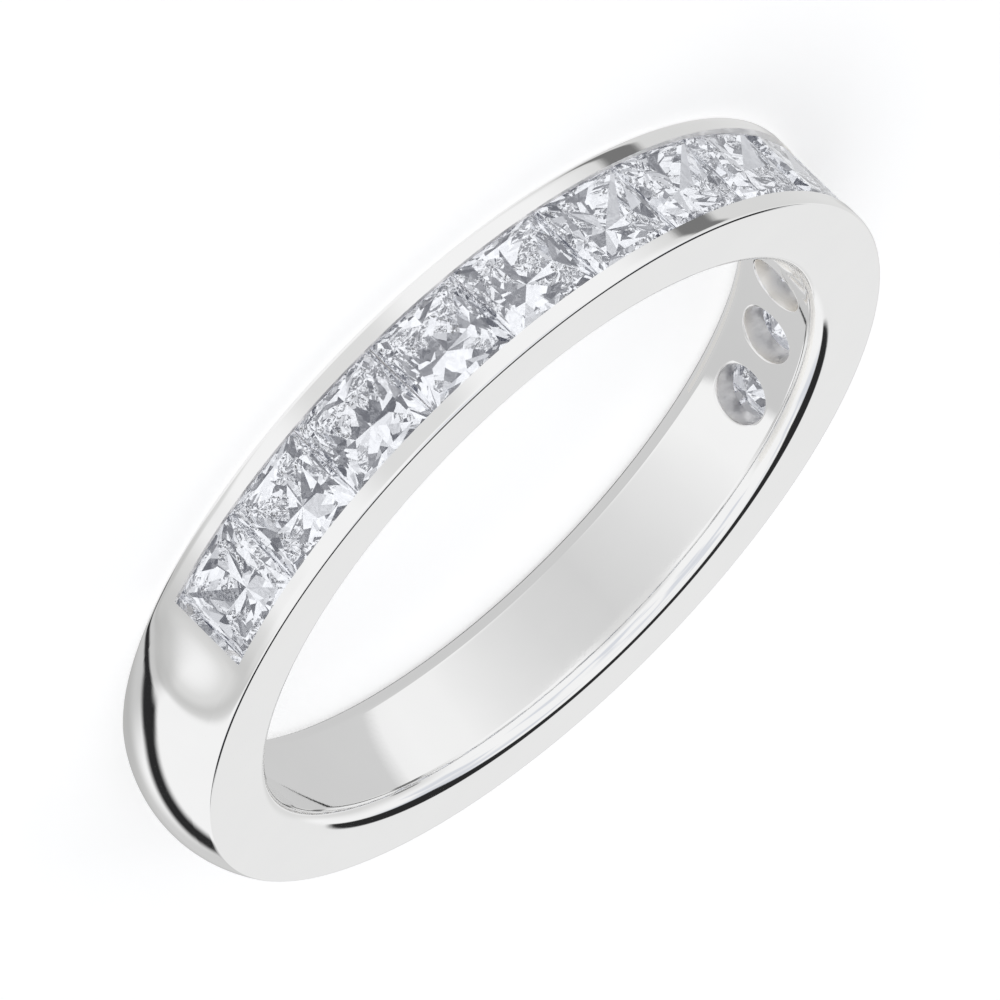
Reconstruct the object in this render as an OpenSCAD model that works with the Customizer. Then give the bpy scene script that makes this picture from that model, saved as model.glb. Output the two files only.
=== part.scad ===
// Channel set band: a polished ring with a row of square stones held between two rails.
// The ring's axis is Z, and its head, with the middle stone, faces -Y.

/* [Band] */
// Inside diameter of the finger hole
bore_d = 17.0; // [16.6:0.1:17.6]
// Width of the band, from one flat side to the other
band_w = 3.05; // [3.05:0.05:3.5]
// Thickness of metal at the flat sides, from the finger hole to the outer rim
rim_t = 1.9; // [1.9:0.05:2.1]
// Height of the shank's dome above the outer rim
dome_h = 0.45; // [0.35:0.01:0.6]
// Height of the flat-topped rails above the outer rim
rail_h = 0.04; // [0.03:0.01:0.12]
// Slope in degrees of the ramp from each end of the rails up to the dome
ramp_slope = 8; // [4:1:10]
// Radius that rounds the inner edges for comfort
inner_round = 0.45; // [0.3:0.05:0.6]

/* [Stones] */
// Number of stones in the row
stones = 13; // [7:1:14]
// Width of a square stone across its girdle
stone_w = 2.5; // [2.4:0.01:2.5]
// Half of the gap between two neighbouring girdles
girdle_gap = 0.015; // [0.01:0.005:0.03]
// Thickness of the girdle
girdle_t = 0.06; // [0.04:0.01:0.08]
// Height of the crown, from the girdle to the table
crown_h = 0.27; // [0.2:0.01:0.3]
// Width of the table as a share of the stone's width
table_share = 0.72; // [0.66:0.01:0.76]
// Depth from the outer rim down to the middle of the girdle
girdle_depth = 0.33; // [0.32:0.01:0.36]

/* [Channel] */
// Width of the opening between the two rails
opening_w = 2.2; // [2.1:0.01:2.2]
// Clearance beside a girdle inside its undercut
seat_gap = 0.02; // [0.01:0.005:0.03]
// Clearance above and below a girdle inside its undercut
lip_gap = 0.03; // [0.02:0.01:0.04]
// Thickness of the metal floor under the stones
floor_t = 0.62; // [0.5:0.02:0.62]
// Width of the channel's floor
floor_w = 1.7; // [1.7:0.02:1.9]
// Diameter of the azure hole under each stone
azure_d = 1.5; // [1.5:0.02:1.6]

/* [Hidden] */
$fn = 96;

bore_r = bore_d / 2;
half_w = band_w / 2;
rim_r = bore_r + rim_t;
crown_r = rim_r + dome_h;
rail_r = rim_r + rail_h;
// Radius of the arc that domes the shank, through both rims and the crown
dome_r = (half_w * half_w + dome_h * dome_h) / (2 * dome_h);

// The crown bends once, in the middle of each side, this far in from the girdle and above it
break_in = 0.15;
break_rise = 0.17;
girdle_r = rim_r - girdle_depth;
half_stone = stone_w / 2;
half_table = half_stone * table_share;
pitch = 2 * atan((half_stone + girdle_gap) / girdle_r);
span = stones * pitch;

// Channel section, from the opening down to the floor
lip_r = girdle_r + girdle_t / 2 + break_rise + lip_gap;
under_r = norm([girdle_r + girdle_t / 2, half_stone]) + lip_gap;
ledge_r = girdle_r - girdle_t / 2 - lip_gap;
floor_r = bore_r + floor_t;
seat_half = half_stone + seat_gap;
// How far cutting shapes run past the metal
past = 1;

// Steps down the middle of a pavilion side, from the girdle to the culet.
// Columns: run towards the centre, drop, both as shares of the stone's width.
pavilion_steps = [
    [0.080, 0.150],
    [0.108, 0.138],
    [0.132, 0.123],
    [0.180, 0.131],
];
steps = len(pavilion_steps);

function stone_name(i) = str("stone_", i < 10 ? "0" : "", i);
function stone_angle(i) = (i - (stones + 1) / 2) * pitch;
// Total of one column of the pavilion steps, down to the given step
function sum_to(column, step) = step < 0 ? 0 : pavilion_steps[step][column] + sum_to(column, step - 1);
function pavilion_reach(step) = half_stone - stone_w * sum_to(0, step);
function pavilion_height(step) = -girdle_t / 2 - stone_w * sum_to(1, step);
// A point at the given reach from the centre, in the middle of a side
function side_point(side, reach, height) = [reach * cos(90 * side), reach * sin(90 * side), height];
// The corner of a level square that follows the given side
function corner(side, half, height) =
    [half * sqrt(2) * cos(90 * side + 45), half * sqrt(2) * sin(90 * side + 45), height];
function four_corners(half, height) = [for (side = [0:3]) corner(side, half, height)];
function four_sides(reach, height) = [for (side = [0:3]) side_point(side, reach, height)];

// Square princess cut with its girdle at z = 0, its table up and its culet down.
// Every set of four points is numbered from its own base: table, crown break, girdle, pavilion steps.
module princess_cut() {
    table = 0;
    crown_break = 4;
    girdle_top = 8;
    girdle_low = 12;
    pavilion = 16;
    culet = pavilion + 4 * (steps - 1);
    points = concat(
        four_corners(half_table, girdle_t / 2 + crown_h),
        four_sides(half_stone - break_in, girdle_t / 2 + break_rise),
        four_corners(half_stone, girdle_t / 2),
        four_corners(half_stone, -girdle_t / 2),
        [for (step = [0:steps - 2]) each four_sides(pavilion_reach(step), pavilion_height(step))],
        [[0, 0, pavilion_height(steps - 1)]]
    );
    side_faces = [for (b = [0:3]) let (a = (b + 3) % 4) each concat(
        [
            [table + a, table + b, crown_break + b],
            [table + a, crown_break + b, girdle_top + a],
            [table + b, girdle_top + b, crown_break + b],
            [crown_break + b, girdle_top + b, girdle_top + a],
            [girdle_top + a, girdle_top + b, girdle_low + b, girdle_low + a],
            [girdle_low + a, girdle_low + b, pavilion + b],
        ],
        [for (step = [1:steps - 1])
            let (upper = pavilion + 4 * (step - 1) + b, lower = step == steps - 1 ? culet : upper + 4)
            each [[girdle_low + a, upper, lower], [girdle_low + b, lower, upper]]]
    )];
    polyhedron(points = points, faces = concat([[3, 2, 1, 0]], side_faces));
}

// One stone in its place in the row, counted from the -X end of the head
module stone(i) {
    color("aliceblue")
        rotate([0, 0, stone_angle(i)])
            rotate([90, 0, 0])
                translate([0, 0, girdle_r])
                    princess_cut();
}

// Waste outside the comfort rounding of one inner edge
module inner_edge_waste() {
    difference() {
        translate([bore_r - past, half_w - inner_round])
            square([inner_round + past, inner_round + past]);
        translate([bore_r + inner_round, half_w - inner_round])
            circle(inner_round);
    }
}

// Section of the shank, with the ring's axis on the left
module shank_section() {
    difference() {
        intersection() {
            translate([bore_r, -half_w])
                square([crown_r - bore_r, band_w]);
            translate([crown_r - dome_r, 0])
                circle(dome_r);
        }
        inner_edge_waste();
        mirror([0, 1])
            inner_edge_waste();
    }
}

// Section of the channel: opening, lips over the girdles, seats and floor
module channel_section() {
    half = [
        [rail_r + past, opening_w / 2],
        [lip_r, opening_w / 2],
        [under_r, seat_half],
        [ledge_r, seat_half],
        [floor_r, floor_w / 2],
    ];
    mirrored = [for (k = [len(half) - 1:-1:0]) [half[k][0], -half[k][1]]];
    polygon(concat(half, mirrored));
}

// Turns a section through the head, from one end of the row to the other
module sweep_head() {
    rotate([0, 0, -90 - span / 2])
        rotate_extrude(angle = span)
            children();
}

// Waste above the rails: round over the head, then flat ramps that run out of the dome
module head_waste() {
    ramp_run = sqrt(pow(crown_r, 2) - pow(rail_r * cos(ramp_slope), 2)) - rail_r * sin(ramp_slope);
    sweep_head()
        translate([rail_r, -half_w - past])
            square([dome_h + past, band_w + 2 * past]);
    for (turn = [0, 1])
        mirror([turn, 0, 0])
            rotate([0, 0, span / 2])
                translate([0, -rail_r, -half_w - past])
                    rotate([0, 0, -ramp_slope])
                        translate([0, -dome_h - past, 0])
                            cube([ramp_run + past, dome_h + past, band_w + 2 * past]);
}

module azure_holes() {
    for (i = [1:stones])
        rotate([0, 0, stone_angle(i)])
            rotate([90, 0, 0])
                translate([0, 0, bore_r - past])
                    cylinder(d = azure_d, h = floor_r - bore_r + 1.3 * past);
}

module band() {
    color("gainsboro")
        difference() {
            // The revolve starts and ends in the middle of the head
            rotate([0, 0, -90])
                rotate_extrude()
                    shank_section();
            head_waste();
            sweep_head()
                channel_section();
            azure_holes();
        }
}

band();
for (i = [1:stones]) stone(i);
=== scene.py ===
import math

import bmesh
import bpy
from mathutils import Matrix, Vector


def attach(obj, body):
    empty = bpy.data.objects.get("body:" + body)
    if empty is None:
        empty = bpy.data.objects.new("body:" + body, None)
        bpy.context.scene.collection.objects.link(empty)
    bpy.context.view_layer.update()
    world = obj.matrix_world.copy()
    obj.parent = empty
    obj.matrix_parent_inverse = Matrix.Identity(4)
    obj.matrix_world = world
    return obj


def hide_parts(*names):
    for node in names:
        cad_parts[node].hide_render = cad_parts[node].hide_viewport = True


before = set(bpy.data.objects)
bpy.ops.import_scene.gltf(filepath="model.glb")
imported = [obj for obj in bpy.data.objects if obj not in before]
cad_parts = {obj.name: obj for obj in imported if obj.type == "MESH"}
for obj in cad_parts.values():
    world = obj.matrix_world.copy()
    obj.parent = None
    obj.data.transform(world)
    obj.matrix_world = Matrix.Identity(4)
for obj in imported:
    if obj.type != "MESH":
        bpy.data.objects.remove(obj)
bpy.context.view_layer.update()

# Sizes in millimetres, the same as the frame's. The ring's axis is Z and its head faces -Y.
MM = 0.001
BORE_R = 8.5
HALF_W = 1.5249
RIM_R = 10.4
RAIL_R = 10.44
CROWN_R = 10.849
# Radius of the arc that domes the shank
DOME_R = (HALF_W ** 2 + (CROWN_R - RIM_R) ** 2) / (2 * (CROWN_R - RIM_R))
INNER_ROUND = 0.45
# Channel: half widths and radii of its opening, undercut seats and floor
OPENING_HALF = 1.1
SEAT_HALF = 1.27
FLOOR_HALF = 0.85
LIP_R = 10.3
UNDER_R = 10.207
LEDGE_R = 10.01
FLOOR_R = 9.12
AZURE_R = 0.75
# Row of stones, each taking half of its width and half of a gap to either side
STONES = 13
GIRDLE_R = 10.07
HALF_PITCH = 1.265
PITCH = 2 * math.atan(HALF_PITCH / GIRDLE_R)
SPAN = STONES * PITCH
STONE_NAMES = [f"stone_{i + 1:02d}" for i in range(STONES)]

# How finely the band is turned
COLUMNS_PER_STONE = 16
SHANK_COLUMNS = 194
MERGE_GAP = 0.0005
# Heights of the rows of points on the finger hole's wall and on the outside, above the middle of the width
BORE_ROWS = [0, 0.15, 0.3, 0.45, 0.6, 0.75, 0.9, 1.06]
OUTER_ROWS = [1.47, 1.44, 1.40, 1.35, 1.28, 1.2, OPENING_HALF + 0.02, OPENING_HALF]
OUTER_ROWS += [1.0, 0.9, 0.8, 0.7, 0.6, 0.5, 0.4, 0.3, 0.2, 0.1, 0.0]
# Rows that keep a flat side flat, this far in from its rounded edges
SIDE_INSET = 0.02
INNER_STEPS = 18
# Eased corner between a flat side and the dome, with a narrow chamfer in it
RIM_EASE = 0.035
CHAMFER_W = 0.04
CHAMFER_TILT = 76
SIDE_EASE_STEPS = 3
DOME_EASE_STEPS = 5
# Round where the flat top of a rail meets the dome's slope
BLEND = 0.05
# Turn over which the rails swell into the dome
SWELL = math.radians(11)
# Points beyond this radius are lowered over the head
OUTER_ZONE_R = 10.2
# Azure holes: patch of the wall round each, rings that keep it round, and eased edge
PATCH_HALF_ANGLE = PITCH * 7 / 16
BORE_PATCH_HALF = 0.9
FLOOR_PATCH_HALF = 0.8
HOLE_CUTS = 2
HOLE_EASE = 0.03
NEAR_SURFACE = 0.02
SHARP_ANGLE = math.radians(28)
# Where the head's metal has a satin finish and a lighter colour, painted light in the channel and the azure
# holes: half width, inner and outer radius
SATIN_PAINTED_LIGHT_HALF = 1.3
SATIN_PAINTED_LIGHT_R = (BORE_R + 0.02, RAIL_R - 0.06)

# Camera: the photograph's angle to the ring, with the ring lying on its side
CAMERA_AZIMUTH = math.radians(52.0)
CAMERA_HEIGHT = math.radians(20.23)
CAMERA_ROLL = math.radians(-225.43)
CAMERA_DISTANCE = 416.0
CAMERA_SIDE = -0.0894
CAMERA_UP = 0.0499
LENS = 648.36


def make_camera():
    back = Vector((0, -math.cos(CAMERA_HEIGHT), math.sin(CAMERA_HEIGHT)))
    right = Vector((1, 0, 0))
    up = back.cross(right)
    x = right * math.cos(CAMERA_ROLL) + up * math.sin(CAMERA_ROLL)
    y = up * math.cos(CAMERA_ROLL) - right * math.sin(CAMERA_ROLL)
    place = x * CAMERA_SIDE + y * CAMERA_UP + back * CAMERA_DISTANCE
    turned = Matrix((x, y, back)).transposed().to_4x4()
    turned.translation = place * MM
    data = bpy.data.cameras.new("photo_view")
    data.sensor_width = 36.0
    data.lens = LENS
    data.clip_start = 0.01
    data.clip_end = 20.0
    camera = bpy.data.objects.new("photo_view", data)
    bpy.context.scene.collection.objects.link(camera)
    camera.matrix_world = Matrix.Rotation(CAMERA_AZIMUTH, 4, "Z") @ turned
    bpy.context.scene.camera = camera


make_camera()


class Nodes:
    """Adds and joins shader nodes of one tree."""

    def __init__(self, tree):
        self.tree = tree
        tree.nodes.clear()

    def add(self, kind, inputs=(), **settings):
        node = self.tree.nodes.new(kind)
        for key, value in settings.items():
            setattr(node, key, value)
        for key, value in dict(inputs).items():
            self.put(node.inputs[key], value)
        return node

    def put(self, socket, value):
        if isinstance(value, bpy.types.NodeSocket):
            self.tree.links.new(value, socket)
        else:
            socket.default_value = value

    def math(self, operation, *values):
        return self.add("ShaderNodeMath", dict(enumerate(values)), operation=operation).outputs[0]

    def dot(self, vector, axis):
        node = self.add("ShaderNodeVectorMath", {0: vector, 1: axis}, operation="DOT_PRODUCT")
        return node.outputs["Value"]

    def ease(self, value, low, high, to_low=0.0, to_high=1.0):
        node = self.add("ShaderNodeMapRange", {
            "Value": value, "From Min": low, "From Max": high, "To Min": to_low, "To Max": to_high,
        }, interpolation_type="SMOOTHSTEP")
        return node.outputs["Result"]

    def mix(self, share, a, b):
        return self.add("ShaderNodeMix", {0: share, 6: a, 7: b}, data_type="RGBA").outputs[2]


# Studio: a white tent with dark and grey gaps, placed by direction round the ring
TENT = (0.955, 0.955, 0.957, 1)
# Rays that leave a stone see large light and dark cells in place of the tent
STONE_DARK = (0.015, 0.022, 0.05, 1)
STONE_LIGHT = (1.05, 1.06, 1.09, 1)
STONE_CELLS = 1.15
CELL_SHADES = (0.17, 0.6)
# Shades of the gaps, and of the soft folds overhead
SOOT = (0.025, 0.025, 0.026, 1)
ASH = (0.42, 0.42, 0.415, 1)
PEARL = (0.72, 0.72, 0.715, 1)
LILAC = (0.62, 0.65, 0.72, 1)
FOLD_HEIGHT = (0.45, 0.6)
FOLD_SHADES = (0.46, 0.62, 0.0, 0.7)
# Each gap, in degrees: azimuth round from the camera, elevation, half width, half height, turn, softness.
# Then its colour and its strength.
GAPS = [
    (180, 18, 24, 10, 0, 12, PEARL, 0.45),
    (4, -20, 8, 26, 0, 16, PEARL, 0.8),
    (-106, -20, 14, 24, 0, 28, PEARL, 1.0),
    (-93, -20, 4.2, 24, 0, 4.5, SOOT, 0.76),
    (-142, -20, 26, 24, 0, 12, PEARL, 0.8),
    (79, -8, 5, 26, 0, 14, PEARL, 0.9),
    (87.5, -8, 3.0, 26, 0, 11.0, ASH, 0.4),
    (66, -40, 9, 10, 0, 12, ASH, 0.45),
    (172, -22, 14, 16, 0, 14, ASH, 0.6),
    (138, -44, 34, 8, 10, 13, ASH, 0.65),
    (135.5, -16.5, 2.4, 19, -47.6, 6.0, SOOT, 1.0),
    (120.5, -38, 3.0, 12, -20, 6.0, SOOT, 1.0),
    (180, 47, 30, 13, 0, 4, SOOT, 1.0),
]


def gap_axes(azimuth, elevation, turn):
    a, e = math.radians(azimuth), math.radians(elevation)
    centre = Vector((math.sin(a) * math.cos(e), -math.cos(a) * math.cos(e), math.sin(e)))
    level = Vector((0, 0, 1)).cross(centre).normalized()
    upright = centre.cross(level)
    t = math.radians(turn)
    return centre, level * math.cos(t) + upright * math.sin(t), upright * math.cos(t) - level * math.sin(t)


def make_studio():
    world = bpy.data.worlds.new("light_tent")
    bpy.context.scene.world = world
    world.use_nodes = True
    world.cycles.sampling_method = "NONE"
    n = Nodes(world.node_tree)
    direction = n.add("ShaderNodeTexCoord").outputs["Generated"]
    folds = n.add("ShaderNodeTexNoise", {"Vector": direction, "Scale": 3.0, "Detail": 1.0, "Roughness": 0.5})
    overhead = n.ease(n.dot(direction, (0, 0, 1)), *FOLD_HEIGHT)
    fold = n.math("MULTIPLY", overhead, n.ease(folds.outputs[0], *FOLD_SHADES))
    colour = n.mix(fold, TENT, LILAC)
    to_part = Matrix.Rotation(CAMERA_AZIMUTH, 3, "Z")
    for azimuth, elevation, half_width, half_height, turn, soft, shade, strength in GAPS:
        centre, level, upright = (to_part @ v for v in gap_axes(azimuth, elevation, turn))
        ahead = n.dot(direction, centre)
        across = n.math("ABSOLUTE", n.math("ARCTAN2", n.dot(direction, level), ahead))
        along = n.math("ABSOLUTE", n.math("ARCSINE", n.dot(direction, upright)))
        mask = strength
        for angle, half in ((across, half_width), (along, half_height)):
            inside = n.ease(angle, math.radians(half), math.radians(half + soft), 1.0, 0.0)
            mask = n.math("MULTIPLY", inside, mask)
        colour = n.mix(mask, colour, shade)
    rays = n.add("ShaderNodeLightPath").outputs
    seen = rays["Is Camera Ray"]
    cells = n.add("ShaderNodeTexVoronoi", {"Vector": direction, "Scale": STONE_CELLS})
    sparkle = n.ease(n.dot(cells.outputs["Color"], (1, 0, 0)), *CELL_SHADES)
    colour = n.mix(rays["Is Transmission Ray"], colour, n.mix(sparkle, STONE_DARK, STONE_LIGHT))
    tent = n.add("ShaderNodeBackground", {"Color": colour})
    plain = n.add("ShaderNodeBackground", {"Color": (1, 1, 1, 1)})
    both = n.add("ShaderNodeMixShader", {0: seen, 1: tent.outputs[0], 2: plain.outputs[0]})
    n.add("ShaderNodeOutputWorld", {"Surface": both.outputs[0]})


# Light of the panel under the ring, which shows only in the finger hole's polish.
# Columns: turn round from the camera in degrees, brightness.
PANEL_LIGHT = [
    (-180, 0.64), (-114, 0.66), (-104, 0.93), (-90, 0.95), (-67, 0.93), (-43, 0.81), (-21, 0.72), (0, 0.68),
    (21, 0.75), (43, 0.84), (67, 0.95), (94, 0.96), (100, 0.62), (180, 0.64),
]
# Radius of the panel, how far it is set back from the camera, and its height
PANEL_R = 10.8
PANEL_BEHIND = 4.0
PANEL_Z = -4.5
# Inner and outer radius, height and turn of the dark card
CARD_R = (9.12, 9.8)
CARD_Z = -1.9
CARD_SPAN = math.radians(150)
ARC_STEPS = 64
# The floor lies this far below the ring
FLOOR_GAP = 0.01


def show_in_polish_only(piece, material):
    material.cycles.emission_sampling = "NONE"
    piece.data.materials.append(material)
    for ray in ("camera", "diffuse", "transmission", "volume_scatter", "shadow"):
        setattr(piece, "visible_" + ray, False)


def make_panel():
    """A lit disc under the ring, set back from the camera."""
    bm = bmesh.new()
    ahead = Vector((math.sin(CAMERA_AZIMUTH), -math.cos(CAMERA_AZIMUTH), 0))
    beside = Vector((math.cos(CAMERA_AZIMUTH), math.sin(CAMERA_AZIMUTH), 0))
    bmesh.ops.create_circle(bm, cap_ends=True, segments=ARC_STEPS, radius=PANEL_R * MM)
    bmesh.ops.translate(bm, verts=bm.verts, vec=(Vector((0, 0, PANEL_Z)) - ahead * PANEL_BEHIND) * MM)
    panel = finished(bm, "light_panel")
    material = bpy.data.materials.new("panel_light")
    material.use_nodes = True
    n = Nodes(material.node_tree)
    place = n.add("ShaderNodeTexCoord").outputs["Object"]
    forward = n.math("ADD", n.dot(place, ahead), PANEL_BEHIND * MM)
    turn = n.math("ARCTAN2", n.dot(place, beside), forward)
    share = n.ease(turn, -math.pi, math.pi)
    share.node.interpolation_type = "LINEAR"
    ramp = n.add("ShaderNodeValToRGB", {0: share})
    stops = ramp.color_ramp.elements
    while len(stops) < len(PANEL_LIGHT):
        stops.new(0.5)
    for stop, (angle, level) in zip(stops, PANEL_LIGHT):
        stop.position = (angle + 180) / 360
        stop.color = (level, level, level, 1)
    glow = n.add("ShaderNodeEmission", {"Color": ramp.outputs[0], "Strength": 1.0})
    n.add("ShaderNodeOutputMaterial", {"Surface": glow.outputs[0]})
    show_in_polish_only(panel, material)


def make_dark_card():
    """A dark arc under the far side of the ring, seen only in the lower edge's polish."""
    bm = bmesh.new()
    verts = [bm.verts.new(at(CAMERA_AZIMUTH + math.pi - CARD_SPAN / 2, r, CARD_Z) * MM) for r in CARD_R]
    edge = bm.edges.new(verts)
    bmesh.ops.spin(
        bm, geom=verts + [edge], cent=(0, 0, 0), axis=(0, 0, 1), dvec=(0, 0, 0), angle=CARD_SPAN,
        steps=ARC_STEPS, use_merge=False, use_normal_flip=False, use_duplicate=False,
    )
    card = finished(bm, "dark_card")
    material = bpy.data.materials.new("card_black")
    material.use_nodes = True
    n = Nodes(material.node_tree)
    glow = n.add("ShaderNodeEmission", {"Color": SOOT, "Strength": 1.0})
    n.add("ShaderNodeOutputMaterial", {"Surface": glow.outputs[0]})
    show_in_polish_only(card, material)


def make_floor():
    bm = bmesh.new()
    bmesh.ops.create_grid(bm, x_segments=2, y_segments=2, size=2.0)
    bmesh.ops.translate(bm, verts=bm.verts, vec=(0, 0, -(HALF_W + FLOOR_GAP) * MM))
    floor = finished(bm, "floor")
    material = bpy.data.materials.new("pale_table")
    material.use_nodes = True
    n = Nodes(material.node_tree)
    place = n.add("ShaderNodeTexCoord").outputs["Object"]
    grain = n.add("ShaderNodeTexNoise", {"Vector": place, "Scale": 40.0, "Detail": 3.0})
    tone = n.ease(grain.outputs[0], 0.3, 0.7, 0.9, 0.92)
    colour = n.add("ShaderNodeCombineColor", {0: tone, 1: tone, 2: tone})
    cover = n.add("ShaderNodeBsdfPrincipled", {
        "Base Color": colour.outputs[0], "Roughness": 0.9, "Specular IOR Level": 0.1,
        "Emission Color": (1, 1, 1, 1), "Emission Strength": 0.33,
    })
    n.add("ShaderNodeOutputMaterial", {"Surface": cover.outputs[0]})
    material.cycles.emission_sampling = "NONE"
    floor.data.materials.append(material)
    floor.visible_glossy = False
    floor.visible_transmission = False


def finished(bm, name):
    """A mesh object with its place in its vertices."""
    mesh = bpy.data.meshes.new(name)
    bm.to_mesh(mesh)
    bm.free()
    piece = bpy.data.objects.new(name, mesh)
    bpy.context.scene.collection.objects.link(piece)
    return piece


def polished_white_gold():
    material = bpy.data.materials.new("polished_white_gold")
    material.use_nodes = True
    n = Nodes(material.node_tree)
    place = n.add("ShaderNodeTexCoord").outputs["Object"]
    cloud = n.add("ShaderNodeTexNoise", {"Vector": place, "Scale": 900.0, "Detail": 4.0})
    polish = n.add("ShaderNodeTexNoise", {"Vector": place, "Scale": 9000.0, "Detail": 3.0})
    rough = n.ease(cloud.outputs[0], 0.35, 0.7, 0.035, 0.065)
    bump = n.add("ShaderNodeBump", {"Height": polish.outputs[0], "Strength": 0.012, "Distance": 0.00002})
    tone = n.add("ShaderNodeMix", {
        0: cloud.outputs[0], 6: (0.915, 0.915, 0.916, 1), 7: (0.945, 0.945, 0.942, 1),
    }, data_type="RGBA")
    metal = n.add("ShaderNodeBsdfPrincipled", {
        "Base Color": tone.outputs[2], "Metallic": 1.0, "Roughness": rough, "Normal": bump.outputs[0],
    })
    n.add("ShaderNodeOutputMaterial", {"Surface": metal.outputs[0]})
    return material


def satin_white_gold_painted_light():
    material = bpy.data.materials.new("satin_white_gold_painted_light")
    material.use_nodes = True
    n = Nodes(material.node_tree)
    place = n.add("ShaderNodeTexCoord").outputs["Object"]
    marks = n.add("ShaderNodeTexNoise", {"Vector": place, "Scale": 14000.0, "Detail": 5.0})
    bump = n.add("ShaderNodeBump", {"Height": marks.outputs[0], "Strength": 0.25, "Distance": 0.00002})
    # Satin finish, with a base colour lighter than the polished gold's: painted light that lifts the shade
    # in the channel and the azure holes
    tone = n.add("ShaderNodeMix", {
        0: marks.outputs[0], 6: (0.965, 0.95, 0.925, 1), 7: (0.99, 0.975, 0.95, 1),
    }, data_type="RGBA")
    metal = n.add("ShaderNodeBsdfPrincipled", {
        "Base Color": tone.outputs[2], "Metallic": 1.0, "Roughness": 0.32, "Normal": bump.outputs[0],
    })
    n.add("ShaderNodeOutputMaterial", {"Surface": metal.outputs[0]})
    return material


def clear_diamond():
    material = bpy.data.materials.new("clear_diamond")
    material.use_nodes = True
    n = Nodes(material.node_tree)
    place = n.add("ShaderNodeTexCoord").outputs["Object"]
    cloud = n.add("ShaderNodeTexNoise", {"Vector": place, "Scale": 1200.0, "Detail": 2.0})
    tone = n.add("ShaderNodeMix", {
        0: cloud.outputs[0], 6: (0.945, 0.958, 0.985, 1), 7: (0.96, 0.97, 0.99, 1),
    }, data_type="RGBA")
    gem = n.add("ShaderNodeBsdfPrincipled", {
        "Base Color": tone.outputs[2], "Roughness": 0.0, "IOR": 2.417, "Transmission Weight": 1.0,
    })
    n.add("ShaderNodeOutputMaterial", {"Surface": gem.outputs[0]})
    return material


def dome(z):
    """Radius of the shank's domed outside."""
    return CROWN_R - DOME_R + math.sqrt(DOME_R ** 2 - z ** 2)


def soft_min(a, b, k):
    h = max(k - abs(a - b), 0) / k
    return min(a, b) - h * h * k / 4


def outside(angle, z):
    """Radius of the outside: flat rails over the head, which swell into the dome past its ends."""
    share = min(max((abs(angle) - SPAN / 2) / SWELL, 0), 1)
    share = share * share * (3 - 2 * share)
    return soft_min(dome(z), RAIL_R, BLEND) * (1 - share) + dome(z) * share


def arc(r, z, radius, start, end, steps):
    return [
        (r + radius * math.cos(math.radians(start + (end - start) * i / steps)),
         z + radius * math.sin(math.radians(start + (end - start) * i / steps)))
        for i in range(steps + 1)
    ]


def rim_corner():
    """Eased corner between a flat side and the dome, from the side to the dome."""
    z = HALF_W - RIM_EASE
    r = CROWN_R - DOME_R + math.sqrt((DOME_R - RIM_EASE) ** 2 - z ** 2)
    slope = math.degrees(math.asin(z / (DOME_R - RIM_EASE)))
    run_in = CHAMFER_W * math.sin(math.radians(CHAMFER_TILT))
    run_down = CHAMFER_W * math.cos(math.radians(CHAMFER_TILT))
    low = arc(r, z - run_down, RIM_EASE, CHAMFER_TILT, slope, DOME_EASE_STEPS)
    high = arc(r - run_in, z, RIM_EASE, 90, CHAMFER_TILT, SIDE_EASE_STEPS)
    return high + low


def half_profile():
    """Upper half of the shank's section, from the bore's middle round to the crown."""
    bore = [(BORE_R, z) for z in BORE_ROWS]
    inner = arc(BORE_R + INNER_ROUND, HALF_W - INNER_ROUND, INNER_ROUND, 180, 90, INNER_STEPS)
    corner = rim_corner()
    side = [(inner[-1][0] + SIDE_INSET, HALF_W), (corner[0][0] - SIDE_INSET, HALF_W)]
    return bore + inner + side + corner + [(dome(z), z) for z in OUTER_ROWS]


def at(angle, r, z):
    return Vector((r * math.sin(angle), -r * math.cos(angle), z))


def angle_of(co):
    return math.atan2(co.x, -co.y)


def turned_blank(bm):
    """The band without its channel: one section turned over the head, then round the shank."""
    half = half_profile()
    section = half + [(r, -z) for r, z in reversed(half[1:-1])]
    verts = [bm.verts.new(at(-SPAN / 2, r, z)) for r, z in section]
    edges = [bm.edges.new((v, verts[(i + 1) % len(verts)])) for i, v in enumerate(verts)]
    geom = verts + edges
    head_columns = STONES * COLUMNS_PER_STONE
    for angle, steps in ((SPAN, head_columns), (2 * math.pi - SPAN, SHANK_COLUMNS)):
        geom = bmesh.ops.spin(
            bm, geom=geom, cent=(0, 0, 0), axis=(0, 0, 1), dvec=(0, 0, 0), angle=angle, steps=steps,
            use_merge=False, use_normal_flip=False, use_duplicate=False,
        )["geom_last"]
    bmesh.ops.remove_doubles(bm, verts=bm.verts, dist=MERGE_GAP)
    for v in bm.verts:
        r = math.hypot(v.co.x, v.co.y)
        if r > OUTER_ZONE_R:
            cut = dome(v.co.z) - outside(angle_of(v.co), v.co.z)
            v.co.xy *= (r - cut) / r
    bmesh.ops.recalc_face_normals(bm, faces=bm.faces)


def in_head(face, half_z, low_r, high_r):
    centre = face.calc_center_median()
    r = math.hypot(centre.x, centre.y)
    return low_r < r < high_r and abs(centre.z) < half_z and abs(angle_of(centre)) < SPAN / 2


def sink(bm, faces, radius, half_z):
    """Pushes the channel's floor one step deeper, and to its next width."""
    pushed = bmesh.ops.extrude_face_region(bm, geom=faces)["geom"]
    bmesh.ops.delete(bm, geom=faces, context="FACES")
    for v in (g for g in pushed if isinstance(g, bmesh.types.BMVert)):
        r = math.hypot(v.co.x, v.co.y)
        v.co.xy *= radius / r
        v.co.z *= half_z[1] / half_z[0]
    return [g for g in pushed if isinstance(g, bmesh.types.BMFace)]


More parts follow.
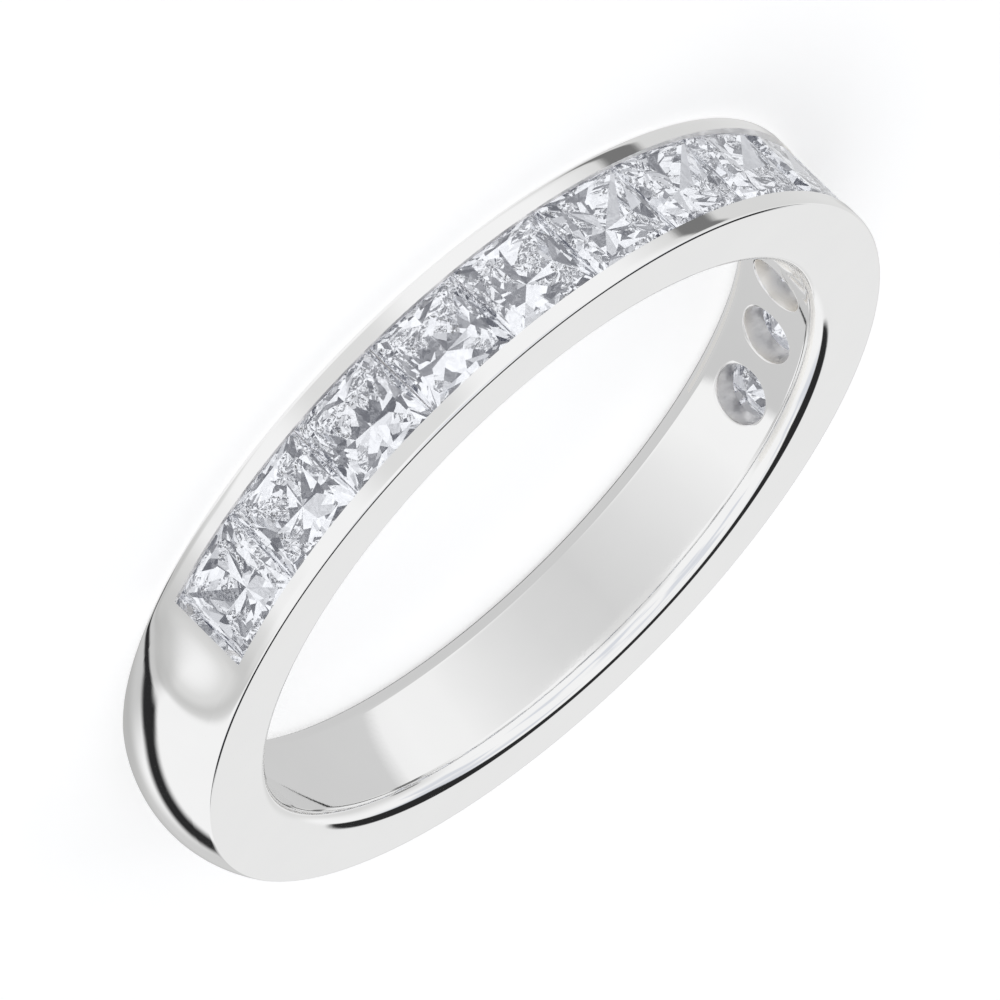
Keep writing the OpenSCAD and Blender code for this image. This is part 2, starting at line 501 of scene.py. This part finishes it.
def cut_channel(bm):
    faces = [f for f in bm.faces if in_head(f, OPENING_HALF, OUTER_ZONE_R, CROWN_R)]
    width = OPENING_HALF
    for radius, half_z in (
        (LIP_R, OPENING_HALF), (UNDER_R, SEAT_HALF), (LEDGE_R, SEAT_HALF), (FLOOR_R, FLOOR_HALF),
    ):
        faces = sink(bm, faces, radius, (width, half_z))
        width = half_z


def once(items):
    """Each item once, in the order given."""
    return list(dict.fromkeys(items))


def hole_ring(bm, angle, radius, count):
    """A ring of points where an azure hole meets the round of the given radius."""
    place = Matrix.Rotation(angle, 4, "Z") @ Matrix.Rotation(math.pi / 2, 4, "X")
    ring = bmesh.ops.create_circle(bm, cap_ends=False, segments=count, radius=AZURE_R, matrix=place)["verts"]
    outward = at(angle, 1, 0)
    for v in ring:
        side = (v.co - outward * v.co.dot(outward)).xy.length
        v.co += outward * (math.sqrt(radius ** 2 - side ** 2) - v.co.dot(outward))
    return once(e for v in ring for e in v.link_edges)


def open_patch(bm, angle, radius, half_z):
    """Takes a patch of faces away round a hole, and gives its edge."""
    patch = []
    for f in bm.faces:
        c = f.calc_center_median()
        near = abs(math.remainder(angle_of(c) - angle, 2 * math.pi)) < PATCH_HALF_ANGLE
        if near and abs(c.z) < half_z and abs(math.hypot(c.x, c.y) - radius) < NEAR_SURFACE:
            patch.append(f)
    edges = once(e for f in patch for e in f.edges)
    rim = [e for e in edges if sum(f in patch for f in e.link_faces) == 1]
    bmesh.ops.delete(bm, geom=patch, context="FACES")
    return [e for e in rim if e.is_valid]


def drill(bm, angle):
    """One azure hole, from the finger hole to the channel's floor."""
    rings = []
    for radius, half_z in ((BORE_R, BORE_PATCH_HALF), (FLOOR_R, FLOOR_PATCH_HALF)):
        rim = open_patch(bm, angle, radius, half_z)
        ring = hole_ring(bm, angle, radius, len(rim))
        faces = bmesh.ops.bridge_loops(bm, edges=rim + ring)["faces"]
        ends = set(rim + ring)
        spokes = [e for e in once(e for f in faces for e in f.edges) if e not in ends]
        added = bmesh.ops.subdivide_edges(bm, edges=spokes, cuts=HOLE_CUTS, use_grid_fill=True)["geom_inner"]
        for v in (g for g in added if isinstance(g, bmesh.types.BMVert)):
            v.co.xy *= radius / math.hypot(v.co.x, v.co.y)
        rings.append(ring)
    bmesh.ops.bridge_loops(bm, edges=rings[0] + rings[1])
    bmesh.ops.bevel(
        bm, geom=rings[0], offset=HOLE_EASE, offset_type="OFFSET", segments=2, profile=0.5, affect="EDGES",
        material=-1,
    )


def make_band(polished, satin_painted_light):
    bm = bmesh.new()
    turned_blank(bm)
    cut_channel(bm)
    for i in range(STONES):
        drill(bm, (i - (STONES - 1) / 2) * PITCH)
    bmesh.ops.recalc_face_normals(bm, faces=bm.faces)
    for f in bm.faces:
        f.smooth = True
        # The channel and the azure holes take the satin metal, with its painted light
        if in_head(f, SATIN_PAINTED_LIGHT_HALF, *SATIN_PAINTED_LIGHT_R):
            f.material_index = 1
    for e in bm.edges:
        e.smooth = e.calc_face_angle(0) < SHARP_ANGLE
    bmesh.ops.scale(bm, vec=(MM, MM, MM), verts=bm.verts)
    band = finished(bm, "channel_band")
    band.data.materials.append(polished)
    band.data.materials.append(satin_painted_light)
    # What the stones refract is the studio, not the channel under them
    band.visible_transmission = False
    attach(band, "root")
    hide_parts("band")


make_floor()
make_panel()
make_dark_card()
make_studio()
make_band(polished_white_gold(), satin_white_gold_painted_light())
diamond = clear_diamond()
for name in STONE_NAMES:
    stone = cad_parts[name]
    stone.data.materials.clear()
    stone.data.materials.append(diamond)

bpy.context.scene.view_settings.view_transform = "Standard"
# Light crosses a stone many times before it leaves
bpy.context.scene.cycles.max_bounces = 32
bpy.context.scene.cycles.transmission_bounces = 24
bpy.context.scene.cycles.glossy_bounces = 32
